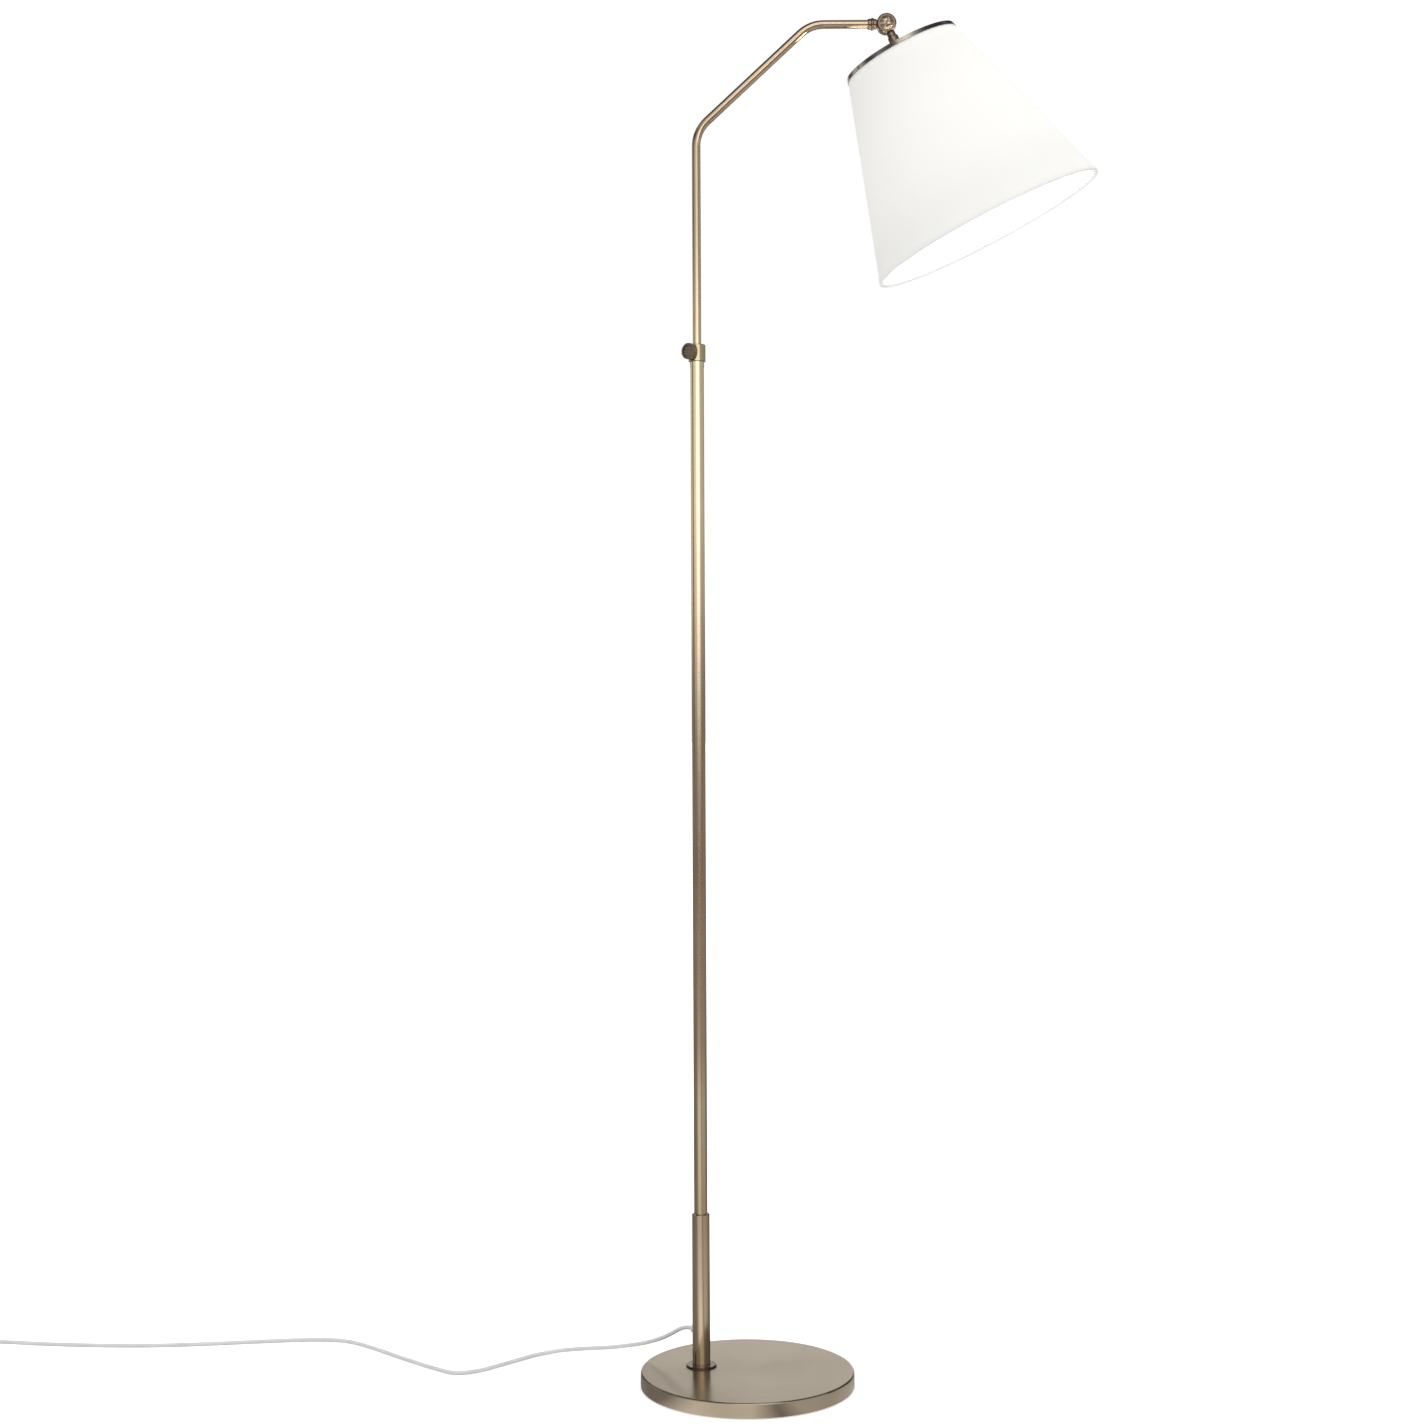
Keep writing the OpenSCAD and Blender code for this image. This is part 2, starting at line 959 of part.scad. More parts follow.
module pole_cord() {
    color(white)
        at_pole() {
            translate([0, 0, exit_z])
                rotate([0, 0, exit_turn]) {
                    translate([inner_bend - bend_lap, 0, 0])
                        rotate([0, 90, 0])
                            cylinder(h = grommet_face - inner_bend + bend_lap, r = cord_r);
                    translate([inner_bend, 0, inner_bend])
                        rotate([90, 0, 0])
                            rotate([0, 0, 180])
                                ring_part(inner_bend, cord_r, 90);
                }
            translate([0, 0, exit_z + inner_bend - bend_lap])
                cylinder(h = slack_from - exit_z - inner_bend + bend_lap, r = cord_r);
        }
}

module slack_cord() {
    color(white)
        at_pole()
            sweep(slack_path(), cord_r, [1, 0, 0]);
}

module arm_cord() {
    color(white)
        at_pole()
            arm_run(cord_r, arm_foot, arm_reach - ferrule_from);
}

module head_cord() {
    color(white)
        at_head()
            translate([0, 0, -socket_from])
                cylinder(h = socket_from - ferrule_from, r = cord_r);
}

module mains_cord() {
    color(white)
        sweep(smooth(route), cord_r, [0, 0, 1]);
}

module cord_coil() {
    half = coil_w / 2 - coil_edge;
    color(white)
        translate([coil_x, coil_y, 0])
            rotate_extrude() {
                translate([coil_r - coil_w / 2, coil_edge])
                    square([coil_w, coil_h - 2 * coil_edge]);
                translate([coil_r - half, 0])
                    square([2 * half, coil_h]);
                for (x = [coil_r - half, coil_r + half], y = [coil_edge, coil_h - coil_edge])
                    translate([x, y])
                        circle(r = coil_edge, $fn = 24);
            }
}

module cord_tail() {
    color(white)
        translate([tail_x, tail_y, plug_z])
            rotate([90, 0, 0])
                cylinder(h = tail_y - plug_y, r = cord_r);
}

module strain_relief() {
    color(white)
        translate([tail_x, relief_y, plug_z])
            rotate([90, 0, 0])
                difference() {
                    cylinder(h = relief_len, r1 = relief_tip_r, r2 = relief_r);
                    translate([0, 0, -eps])
                        cylinder(h = relief_len + 2 * eps, r = cord_r);
                }
}

module plug_body() {
    color(white)
        translate([tail_x, plug_y, 0])
            linear_extrude(height = 2 * plug_z)
                polygon([
                    [-plug_neck / 2, 0],
                    [plug_neck / 2, 0],
                    [plug_w / 2, -plug_len * 0.45],
                    [plug_w / 2, -plug_len],
                    [-plug_w / 2, -plug_len],
                    [-plug_w / 2, -plug_len * 0.45]
                ]);
}

module plug_pins() {
    color(steel)
        for (side = [-1, 1])
            translate([tail_x + side * plug_pin_gap / 2, plug_y - plug_len, plug_z])
                rotate([90, 0, 0])
                    cylinder(h = plug_pin_len, r = plug_pin_r);
}

base_pad();
base_weight();
base_cover();
threaded_stud();
lock_washer();
base_nut();
foot_ring();
sleeve_insert();
lower_sleeve();
cord_grommet();
main_pole();
pole_bush();
height_collar();
clamp_knob();
clamp_screw();
clamp_pad();
arm_guide();
arm_tube();
arm_ferrule();
knuckle_arm_half();
knuckle_head_half();
knuckle_washer();
knuckle_screw();
knuckle_nut();
head_stem();
stem_nipple();
socket_cap();
lamp_holder();
socket_shell();
socket_contact();
switch_knob();
shade_nut();
shade_spider();
shade_fabric();
shade_top_band();
shade_hem_ring();
bulb_base();
bulb_glass();
pole_cord();
slack_cord();
arm_cord();
head_cord();
mains_cord();
cord_coil();
cord_tail();
strain_relief();
plug_body();
plug_pins();
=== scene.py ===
import math

import bmesh
import bpy
from mathutils import Matrix, Vector


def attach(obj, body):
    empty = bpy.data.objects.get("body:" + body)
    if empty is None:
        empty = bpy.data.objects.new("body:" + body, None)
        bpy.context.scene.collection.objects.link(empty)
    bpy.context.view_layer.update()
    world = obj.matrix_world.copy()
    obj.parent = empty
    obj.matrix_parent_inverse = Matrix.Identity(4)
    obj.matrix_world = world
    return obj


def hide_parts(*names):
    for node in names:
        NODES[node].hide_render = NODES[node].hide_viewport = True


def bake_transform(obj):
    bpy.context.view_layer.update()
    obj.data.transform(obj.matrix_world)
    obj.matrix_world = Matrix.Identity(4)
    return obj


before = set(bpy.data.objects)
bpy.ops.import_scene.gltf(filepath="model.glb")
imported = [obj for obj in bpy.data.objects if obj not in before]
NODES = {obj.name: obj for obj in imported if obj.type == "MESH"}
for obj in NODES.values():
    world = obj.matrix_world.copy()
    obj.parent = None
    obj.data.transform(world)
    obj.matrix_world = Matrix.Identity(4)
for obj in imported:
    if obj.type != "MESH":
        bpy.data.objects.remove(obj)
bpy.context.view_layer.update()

# ---------------------------------------------------------------- sizes, in metres

CAMERA_AT = (-0.0377, -2.6318, 0.8187)
CAMERA_DOWN = 0.0119  # radians
CAMERA_ROLL = -0.0043  # radians
CAMERA_LENS = 57.0  # mm
SENSOR = 36.0  # mm
CAMERA_REACH = 60.0

# the knuckle's axis, and the head's own frame with its origin there and the shade hanging down -Z
PIVOT = Vector((0.169, 0.017, 1.5915))
TILT = math.radians(26.3)
HEAD = Matrix.Translation(PIVOT) @ Matrix.Rotation(-TILT, 4, "Y")

SHADE_DROP = 0.0368
SHADE_END = 0.2683
SHADE_TOP_R = 0.0685
SHADE_BOTTOM_R = 0.1414
SHADE_MEAN_R = 0.105
SHADE_STEPS = 144
SHADE_ROWS = 12
CLOTH = 0.0012
HEM = 0.009
HEM_PROUD = 0.0004
HEM_ROLL = 0.0012
HEM_TIP = 0.0003
HEM_TUCK = 0.0001
HEM_LEAD = 0.001
SEAM_AT = math.radians(100)
SEAM_W = 0.009
SEAM_PROUD = 0.0005
SEAM_SUNK = 0.0002
SEAM_FROM = 0.006
SEAM_CLEAR = 0.0075
SEAM_STEPS = 24

CORD_D = 0.005
CORD_R = CORD_D / 2
# from the grommet down to the floor and along it to the coil
ROUTE = [
    (-0.064, 0.0245, 0.060),
    (-0.071, 0.0298, 0.0595),
    (-0.0785, 0.0356, 0.0565),
    (-0.086, 0.0415, 0.051),
    (-0.095, 0.048, 0.0445),
    (-0.106, 0.056, 0.038),
    (-0.121, 0.066, 0.031),
    (-0.140, 0.078, 0.0245),
    (-0.165, 0.095, 0.017),
    (-0.196, 0.114, 0.010),
    (-0.225, 0.124, 0.005),
    (-0.247, 0.121, 0.0025),
    (-0.270, 0.101, 0.0025),
    (-0.296, 0.074, 0.0025),
    (-0.320, 0.052, 0.0025),
    (-0.346, 0.043, 0.0025),
    (-0.372, 0.060, 0.0025),
    (-0.420, 0.105, 0.0025),
    (-0.466, 0.151, 0.0025),
    (-0.500, 0.176, 0.0025),
    (-0.540, 0.182, 0.0025),
    (-0.600, 0.176, 0.0025),
    (-0.670, 0.166, 0.0025),
    (-0.740, 0.160, 0.0025),
    (-0.810, 0.162, 0.0025),
    (-0.880, 0.170, 0.0025),
    (-0.930, 0.179, 0.0025),
]
COIL_AT = (-0.985, 0.150)
COIL_START_R = 0.033
COIL_TURNS = 5.25
COIL_FLOOR_TURNS = 2.5
COIL_CLIMB = 0.3
COIL_STEPS = 16
TAIL_X = -1.0175
TAIL_Z = 0.007
RELIEF_Y = 0.098
RELIEF_LEN = 0.034
RELIEF_PLUG_R = 0.0032
RELIEF_CORD_R = 0.0050
RELIEF_RIBS = 7
RELIEF_DIP = 0.0006
RELIEF_GAP = 0.00002
RELIEF_STEPS = 32
PLUG_Y = RELIEF_Y - RELIEF_LEN
PLUG_LEN = 0.036
PLUG_W = 0.035
PLUG_H = 0.014
PLUG_NECK = 0.0075
PLUG_SHOULDER = 0.72
PLUG_TAPER = (0.008, 0.018)
PLUG_EDGE = 0.0022
TAIL_IN_PLUG = 0.004
TAIL_YS = (0.132, 0.116, 0.100, 0.082, PLUG_Y - TAIL_IN_PLUG)


# ---------------------------------------------------------------- camera

def make_camera():
    data = bpy.data.cameras.new("camera")
    data.sensor_width = SENSOR
    data.lens = CAMERA_LENS
    data.clip_end = CAMERA_REACH
    cam = bpy.data.objects.new("camera", data)
    bpy.context.scene.collection.objects.link(cam)
    turn = Matrix.Rotation(math.pi / 2 - CAMERA_DOWN, 4, "X")
    roll = Matrix.Rotation(CAMERA_ROLL, 4, "Z")
    cam.matrix_world = Matrix.Translation(CAMERA_AT) @ turn @ roll
    bpy.context.scene.camera = cam


make_camera()


# ---------------------------------------------------------------- mesh helpers

def link(name, data, mat=None, body=None):
    obj = bpy.data.objects.new(name, data)
    bpy.context.scene.collection.objects.link(obj)
    if mat:
        data.materials.append(mat)
    if body:
        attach(obj, body)
    return obj


def mesh_object(name, verts, faces, mat, body):
    mesh = bpy.data.meshes.new(name)
    mesh.from_pydata(verts, [], faces)
    bm = bmesh.new()
    bm.from_mesh(mesh)
    bmesh.ops.recalc_face_normals(bm, faces=bm.faces)
    bm.to_mesh(mesh)
    bm.free()
    for face in mesh.polygons:
        face.use_smooth = True
    return link(name, mesh, mat, body)


def lathe(profile, steps, place):
    """Vertices and faces of a closed profile of (radius, height) points turned about +Z."""
    verts, faces = [], []
    n = len(profile)
    for i in range(steps):
        a = 2 * math.pi * i / steps
        for r, z in profile:
            verts.append(place @ Vector((r * math.cos(a), r * math.sin(a), z)))
    for i in range(steps):
        j = (i + 1) % steps
        for k in range(n):
            m = (k + 1) % n
            faces.append((i * n + k, j * n + k, j * n + m, i * n + m))
    return verts, faces


# ---------------------------------------------------------------- cord

def coil_point(turns):
    """A point of the coil: inward on the floor, a quick climb, then outward on top."""
    angle = math.pi / 2 + 2 * math.pi * turns
    low_end = COIL_START_R - CORD_D * COIL_FLOOR_TURNS
    if turns <= COIL_FLOOR_TURNS:
        r, z = COIL_START_R - CORD_D * turns, CORD_R
    else:
        u = min(1.0, (turns - COIL_FLOOR_TURNS) / COIL_CLIMB)
        ease = u * u * (3 - 2 * u)
        z = CORD_R + (TAIL_Z - CORD_R) * ease
        climbed = COIL_FLOOR_TURNS + COIL_CLIMB
        out = max(0.0, turns - climbed) / (COIL_TURNS - climbed)
        r = low_end + (COIL_AT[0] - TAIL_X - low_end) * out
    return (COIL_AT[0] + r * math.cos(angle), COIL_AT[1] + r * math.sin(angle), z)


def cord_points():
    """Centreline of the whole cord: the route, the coil, then straight into the plug."""
    count = round(COIL_TURNS * COIL_STEPS)
    coil = [coil_point(COIL_TURNS * i / count) for i in range(count + 1)]
    tail = [(TAIL_X, y, TAIL_Z) for y in TAIL_YS]
    return ROUTE + coil + tail


def bezier_cord(name, points, mat, body):
    """A round cord through the points, with no part of its centreline below its radius."""
    curve = bpy.data.curves.new(name, "CURVE")
    curve.dimensions = "3D"
    curve.bevel_depth = CORD_R
    curve.bevel_resolution = 4
    curve.resolution_u = 6
    curve.use_fill_caps = True
    spline = curve.splines.new("BEZIER")
    spline.bezier_points.add(len(points) - 1)
    pts = [Vector(p) for p in points]
    for i, bp in enumerate(spline.bezier_points):
        before, after = pts[max(i - 1, 0)], pts[min(i + 1, len(pts) - 1)]
        here = pts[i]
        way = (after - before).normalized()
        bp.handle_left_type = bp.handle_right_type = "FREE"
        bp.co = here
        left = here - way * (here - before).length / 3
        right = here + way * (after - here).length / 3
        bp.handle_left = (left.x, left.y, max(left.z, CORD_R))
        bp.handle_right = (right.x, right.y, max(right.z, CORD_R))
    return link(name, curve, mat, body)


# ---------------------------------------------------------------- node helpers

class Nodes:
    """A material's node tree with short calls for the nodes that the finishes share."""

    def __init__(self, name):
        self.mat = bpy.data.materials.new(name)
        self.mat.use_nodes = True
        self.tree = self.mat.node_tree
        self.shader = self.tree.nodes["Principled BSDF"]
        self.coord = self.new("ShaderNodeTexCoord").outputs["Object"]

    def new(self, kind, **settings):
        node = self.tree.nodes.new(kind)
        for key, value in settings.items():
            setattr(node, key, value)
        return node

    def wire(self, out, socket):
        self.tree.links.new(out, socket)

    def set(self, **values):
        for key, value in values.items():
            self.shader.inputs[key.replace("_", " ")].default_value = value

    def mapped(self, scale, vector=None, location=(0, 0, 0), rotation=(0, 0, 0)):
        node = self.new("ShaderNodeMapping")
        node.inputs["Scale"].default_value = scale
        node.inputs["Location"].default_value = location
        node.inputs["Rotation"].default_value = rotation
        self.wire(vector or self.coord, node.inputs["Vector"])
        return node.outputs["Vector"]

    def noise(self, vector, scale, detail, rough=0.5):
        node = self.new("ShaderNodeTexNoise")
        node.inputs["Scale"].default_value = scale
        node.inputs["Detail"].default_value = detail
        node.inputs["Roughness"].default_value = rough
        self.wire(vector, node.inputs["Vector"])
        return node.outputs["Fac"]

    def math(self, how, a, b=None):
        node = self.new("ShaderNodeMath", operation=how)
        for socket, value in zip(node.inputs, (a, b)):
            if value is None:
                continue
            if isinstance(value, (int, float)):
                socket.default_value = value
            else:
                self.wire(value, socket)
        return node.outputs[0]

    def ramp(self, fac, stops):
        stops = list(stops)
        node = self.new("ShaderNodeValToRGB")
        band = node.color_ramp
        while len(band.elements) < len(stops):
            band.elements.new(0.5)
        for element, (at, colour) in zip(band.elements, stops):
            element.position = at
            element.color = (*colour, 1)
        self.wire(fac, node.inputs["Fac"])
        return node.outputs["Color"]

    def two_tone(self, fac, low, high, start=0.3, end=0.7):
        return self.ramp(fac, [(start, low), (end, high)])

    def blend(self, a, b, share):
        """A share of a and the rest of b."""
        rest = self.math("MULTIPLY", b, 1 - share)
        return self.math("ADD", self.math("MULTIPLY", a, share), rest)

    def spread(self, fac, low, high, start=0.3, end=0.7):
        node = self.new("ShaderNodeMapRange")
        limits = {"From Min": start, "From Max": end, "To Min": low, "To Max": high}
        for key, value in limits.items():
            node.inputs[key].default_value = value
        self.wire(fac, node.inputs["Value"])
        return node.outputs["Result"]

    def bump(self, height, distance, strength):
        node = self.new("ShaderNodeBump")
        node.inputs["Distance"].default_value = distance
        node.inputs["Strength"].default_value = strength
        self.wire(height, node.inputs["Height"])
        self.wire(node.outputs["Normal"], self.shader.inputs["Normal"])

    def colour(self, out):
        self.wire(out, self.shader.inputs["Base Color"])

    def rough(self, out):
        self.wire(out, self.shader.inputs["Roughness"])


# ---------------------------------------------------------------- finishes

# dark, middle and light tones of each metal
BRASS = ((0.370, 0.300, 0.205), (0.435, 0.358, 0.252), (0.490, 0.410, 0.300))
ARM_BRASS = ((0.345, 0.270, 0.185), (0.400, 0.322, 0.228), (0.450, 0.370, 0.272))
OLIVE_BRASS = ((0.190, 0.168, 0.100), (0.250, 0.222, 0.138), (0.320, 0.285, 0.185))
SCREW_BRASS = ((0.26, 0.20, 0.15), (0.34, 0.27, 0.21), (0.43, 0.345, 0.27))
OLD_BRASS = ((0.125, 0.090, 0.065), (0.185, 0.140, 0.103), (0.26, 0.20, 0.155))
SPUN_BRASS = ((0.265, 0.222, 0.160), (0.336, 0.286, 0.214), (0.400, 0.343, 0.262))
BAND_METAL = ((0.16, 0.145, 0.125), (0.24, 0.22, 0.195), (0.33, 0.305, 0.275))
KNOB_BRASS = ((0.20, 0.165, 0.115), (0.30, 0.25, 0.18), (0.40, 0.34, 0.25))
DARK_BRASS = ((0.035, 0.028, 0.02), (0.085, 0.066, 0.045), (0.17, 0.135, 0.095))
# painted shade: the near-black brown laid into nooks and between parts, where shade falls
PAINTED_SHADE = (0.05, 0.036, 0.022, 1)
TONE_STOPS = (0.30, 0.50, 0.72)
CLOUDS = 7.0
SPUN_CLOUDS = 11.0
LAMP_METAL = ((0.50, 0.36, 0.14), (0.74, 0.57, 0.27))
ZINC = ((0.42, 0.42, 0.41), (0.66, 0.66, 0.64))
IRON = ((0.045, 0.044, 0.045), (0.105, 0.095, 0.088))
THREADS = 420.0
SLUB_WIDE, SLUB_LONG = 900, 30
CLOTH_TONES = ((0.86, 0.855, 0.83), (0.95, 0.948, 0.93))
GLOW_DOWN = [
    # level from the hem to the top band, and the bulb's light seen through the cloth there
    (0.0, (0.60, 0.605, 0.60)),
    (0.35, (0.98, 0.965, 0.93)),
    (0.62, (1.0, 0.985, 0.95)),
    (1.0, (0.70, 0.69, 0.675)),
]
FROST = ((0.93, 0.92, 0.89), (0.97, 0.96, 0.94))
FILAMENT = ((1.0, 0.90, 0.74), (1.0, 0.94, 0.82))


def brushed(name, streak, rough, tones=BRASS, painted_shade_reach=0.0):
    """Satin brushed metal: fine scratches over slow patina clouds, and, when given a reach, painted
    shade that darkens the nooks where nearby parts block the light.
    """
    m = Nodes(name)
    lines = m.noise(m.mapped(streak), 1.0, 3.0, 0.5)
    clouds = m.noise(m.coord, CLOUDS, 3.0, 0.5)
    tone = m.ramp(m.blend(lines, clouds, 0.25), zip(TONE_STOPS, tones))
    # painted shade: an occlusion mask pulls the colour towards the painted shade tone where other
    # surfaces lie within the reach
    if painted_shade_reach:
        near = m.new("ShaderNodeAmbientOcclusion", samples=8)
        near.inputs["Distance"].default_value = painted_shade_reach
        mix = m.new("ShaderNodeMix", data_type="RGBA")
        m.wire(m.spread(near.outputs["AO"], 0.0, 1.0, 0.35, 0.85), mix.inputs["Factor"])
        mix.inputs["A"].default_value = PAINTED_SHADE
        m.wire(tone, mix.inputs["B"])
        tone = mix.outputs["Result"]
    m.colour(tone)
    m.rough(m.spread(lines, *rough))
    m.set(Metallic=1.0)
    return m.mat


def turned_brass(name, pitch):
    """Brass brushed in rings about the base's upright axis, as on a spun disc."""
    m = Nodes(name)
    flat = m.mapped((1, 1, 0))
    split = m.new("ShaderNodeSeparateXYZ")
    m.wire(flat, split.inputs[0])
    length = m.new("ShaderNodeVectorMath", operation="LENGTH")
    m.wire(flat, length.inputs[0])
    rings = m.new("ShaderNodeCombineXYZ")
    m.wire(m.math("MULTIPLY", length.outputs["Value"], pitch), rings.inputs[0])
    angle = m.math("ARCTAN2", split.outputs[1], split.outputs[0])
    m.wire(m.math("MULTIPLY", m.math("COSINE", angle), 1.5), rings.inputs[1])
    m.wire(m.math("MULTIPLY", m.math("SINE", angle), 1.5), rings.inputs[2])
    lines = m.noise(rings.outputs[0], 1.0, 4.0, 0.65)
    clouds = m.noise(m.coord, SPUN_CLOUDS, 4.0, 0.5)
    m.colour(m.ramp(m.blend(lines, clouds, 0.5), zip(TONE_STOPS, SPUN_BRASS)))
    m.rough(m.spread(lines, 0.17, 0.24))
    m.bump(lines, 0.00002, 0.5)
    m.set(Metallic=1.0, Anisotropic=0.6)
    tangent = m.new("ShaderNodeTangent", direction_type="RADIAL", axis="Z")
    m.wire(tangent.outputs[0], m.shader.inputs["Tangent"])
    return m.mat


def cast(name):
    """Rough painted iron."""
    m = Nodes(name)
    grain = m.noise(m.coord, 420.0, 5.0, 0.6)
    patches = m.noise(m.coord, 14.0, 4.0)
    m.colour(m.two_tone(patches, *IRON))
    m.rough(m.spread(grain, 0.55, 0.8))
    m.bump(grain, 0.0003, 0.8)
    m.set(Metallic=0.8)
    return m.mat


def plated(name, low, high):
    """Bright plated metal, faintly spotted."""
    m = Nodes(name)
    lines = m.noise(m.mapped((260, 260, 60)), 3.0, 3.0)
    spots = m.noise(m.coord, 60.0, 4.0)
    m.colour(m.two_tone(spots, low, high))
    m.rough(m.spread(lines, 0.22, 0.42))
    m.bump(lines, 0.00003, 0.5)
    m.set(Metallic=1.0)
    return m.mat


def plastic(name, low, high, rough=(0.28, 0.42), grain=900.0, depth=0.00003):
    """Moulded plastic, rubber or lacquer with a fine grain."""
    m = Nodes(name)
    fine = m.noise(m.coord, grain, 3.0)
    slow = m.noise(m.coord, 35.0, 3.0)
    m.colour(m.two_tone(slow, low, high))
    m.rough(m.spread(fine, *rough))
    m.bump(fine, depth, 0.6)
    return m.mat


def linen(name, glow):
    """White woven shade cloth, lit from inside: threads both ways, slubs, and a soft glow."""
    m = Nodes(name)
    turn = Matrix.Rotation(TILT, 4, "Y")
    local = m.mapped((1, 1, 1), location=-(turn @ PIVOT), rotation=(0, TILT, 0))
    split = m.new("ShaderNodeSeparateXYZ")
    m.wire(local, split.inputs[0])
    angle = m.math("ARCTAN2", split.outputs[1], split.outputs[0])
    around = m.math("MULTIPLY", angle, SHADE_MEAN_R)
    cloth = m.new("ShaderNodeCombineXYZ")
    m.wire(around, cloth.inputs[0])
    m.wire(split.outputs[2], cloth.inputs[1])
    weave = []
    for direction in ("X", "Y"):
        wave = m.new("ShaderNodeTexWave", wave_type="BANDS", bands_direction=direction)
        texture = {"Scale": THREADS, "Distortion": 1.2, "Detail": 2.0, "Detail Scale": 0.6}
        for key, value in texture.items():
            wave.inputs[key].default_value = value
        m.wire(cloth.outputs[0], wave.inputs["Vector"])
        weave.append(wave.outputs["Fac"])
    threads = m.math("MULTIPLY", m.math("ADD", *weave), 0.5)
    across = m.noise(m.mapped((SLUB_LONG, SLUB_WIDE, 1), cloth.outputs[0]), 1.0, 3.0)
    down = m.noise(m.mapped((SLUB_WIDE, SLUB_LONG, 1), cloth.outputs[0]), 1.0, 3.0)
    slubs = m.math("MULTIPLY", m.math("ADD", across, down), 0.5)
    tone = m.blend(threads, slubs, 0.25)
    m.colour(m.two_tone(tone, *CLOTH_TONES, start=0.25, end=0.65))
    level = m.spread(split.outputs[2], 0.0, 1.0, -SHADE_END, -SHADE_DROP)
    light = m.ramp(level, GLOW_DOWN)
    mix = m.new("ShaderNodeMix", data_type="RGBA", blend_type="MULTIPLY")
    mix.inputs["Factor"].default_value = 1.0
    m.wire(light, mix.inputs["A"])
    m.wire(m.two_tone(tone, (0.88, 0.88, 0.88), (1, 1, 1), start=0.2, end=0.6), mix.inputs["B"])
    m.wire(mix.outputs["Result"], m.shader.inputs["Emission Color"])
    m.bump(tone, 0.00025, 0.6)
    m.set(Roughness=0.92, Emission_Strength=glow, Sheen_Weight=0.15)
    return m.mat


def frosted_bulb(name, glow):
    """Frosted glass with the lit lamp behind it."""
    m = Nodes(name)
    slow = m.noise(m.coord, 40.0, 3.0)
    m.colour(m.two_tone(slow, *FROST))
    m.wire(m.two_tone(slow, *FILAMENT), m.shader.inputs["Emission Color"])
    m.bump(m.noise(m.coord, 1500.0, 2.0), 0.00002, 0.5)
    m.set(Roughness=0.5, Emission_Strength=glow)
    return m.mat


LOOKS = {
    "pole": brushed("brass_pole", (1100, 1100, 4), (0.13, 0.17)),
    # each look given a reach below gets painted shade in its nooks, within that many metres
    "collar": brushed("brass_polished", (1100, 1100, 8), (0.10, 0.14), OLIVE_BRASS, painted_shade_reach=0.003),
    "arm": brushed("brass_arm", (20, 20, 20), (0.15, 0.17), ARM_BRASS),
    "screw": brushed("brass_screw", (120, 120, 120), (0.18, 0.22), SCREW_BRASS, painted_shade_reach=0.003),
    "small": brushed("brass_small", (120, 120, 120), (0.20, 0.25), OLD_BRASS, painted_shade_reach=0.0035),
    "base": turned_brass("brass_base", 1500.0),
    "band": brushed("brass_band", (420, 420, 420), (0.14, 0.20), BAND_METAL),
    "knob": brushed("brass_knob", (700, 700, 700), (0.18, 0.26), KNOB_BRASS, painted_shade_reach=0.003),
    "dark": brushed("brass_dark", (420, 420, 420), (0.28, 0.42), DARK_BRASS),
    "socket": plated("brass_socket", *LAMP_METAL),
    "iron": cast("cast_iron"),
    "steel": plated("zinc_steel", *ZINC),
    "pad": plastic("rubber_pad", (0.012, 0.012, 0.012), (0.03, 0.03, 0.03), (0.7, 0.85),
                   grain=500.0, depth=0.0002),
    "white": plastic("white_plastic", (0.80, 0.79, 0.76), (0.88, 0.87, 0.84)),
    "cord": plastic("white_pvc", (0.76, 0.76, 0.755), (0.84, 0.84, 0.835), (0.3, 0.42),
                    grain=1400.0, depth=0.00002),
    "cloth": linen("shade_linen", 0.19),
    "wire": plastic("white_lacquer", (0.78, 0.78, 0.76), (0.86, 0.86, 0.84), (0.35, 0.5)),
    "bulb": frosted_bulb("frosted_glass", 15.0),
}
# the nodes that wear each look
FINISH_OF = {
    "pole": ("lower_sleeve", "main_pole", "pole_bush"),
    "collar": ("height_collar",),
    "arm": ("arm_tube",),
    "band": ("shade_top_band",),
    "knob": ("clamp_knob",),
    "small": ("foot_ring", "arm_ferrule", "knuckle_arm_half", "knuckle_head_half",
              "knuckle_nut", "head_stem", "socket_cap"),
    "screw": ("knuckle_screw",),
    "base": ("base_cover",),
    "dark": ("knuckle_washer", "switch_knob"),
    "socket": ("socket_shell",),
    "iron": ("base_weight",),
    "steel": ("threaded_stud", "lock_washer", "base_nut", "sleeve_insert", "clamp_screw",
              "clamp_pad", "stem_nipple", "socket_contact", "bulb_base", "plug_pins"),
    "wire": ("shade_spider",),
    "pad": ("base_pad",),
    "white": ("cord_grommet", "arm_guide", "lamp_holder", "shade_nut", "plug_body",
              "strain_relief"),
    "cord": ("pole_cord", "slack_cord", "arm_cord", "head_cord", "mains_cord", "cord_coil",
             "cord_tail"),
    "cloth": ("shade_fabric", "shade_hem_ring"),
    "bulb": ("bulb_glass",),
}


def dress_nodes():
    for look, names in FINISH_OF.items():
        for name in names:
            slots = NODES[name].material_slots
            for s in slots:
                s.material = LOOKS[look]
            if not slots:
                NODES[name].data.materials.append(LOOKS[look])


dress_nodes()


# ---------------------------------------------------------------- cord and plug

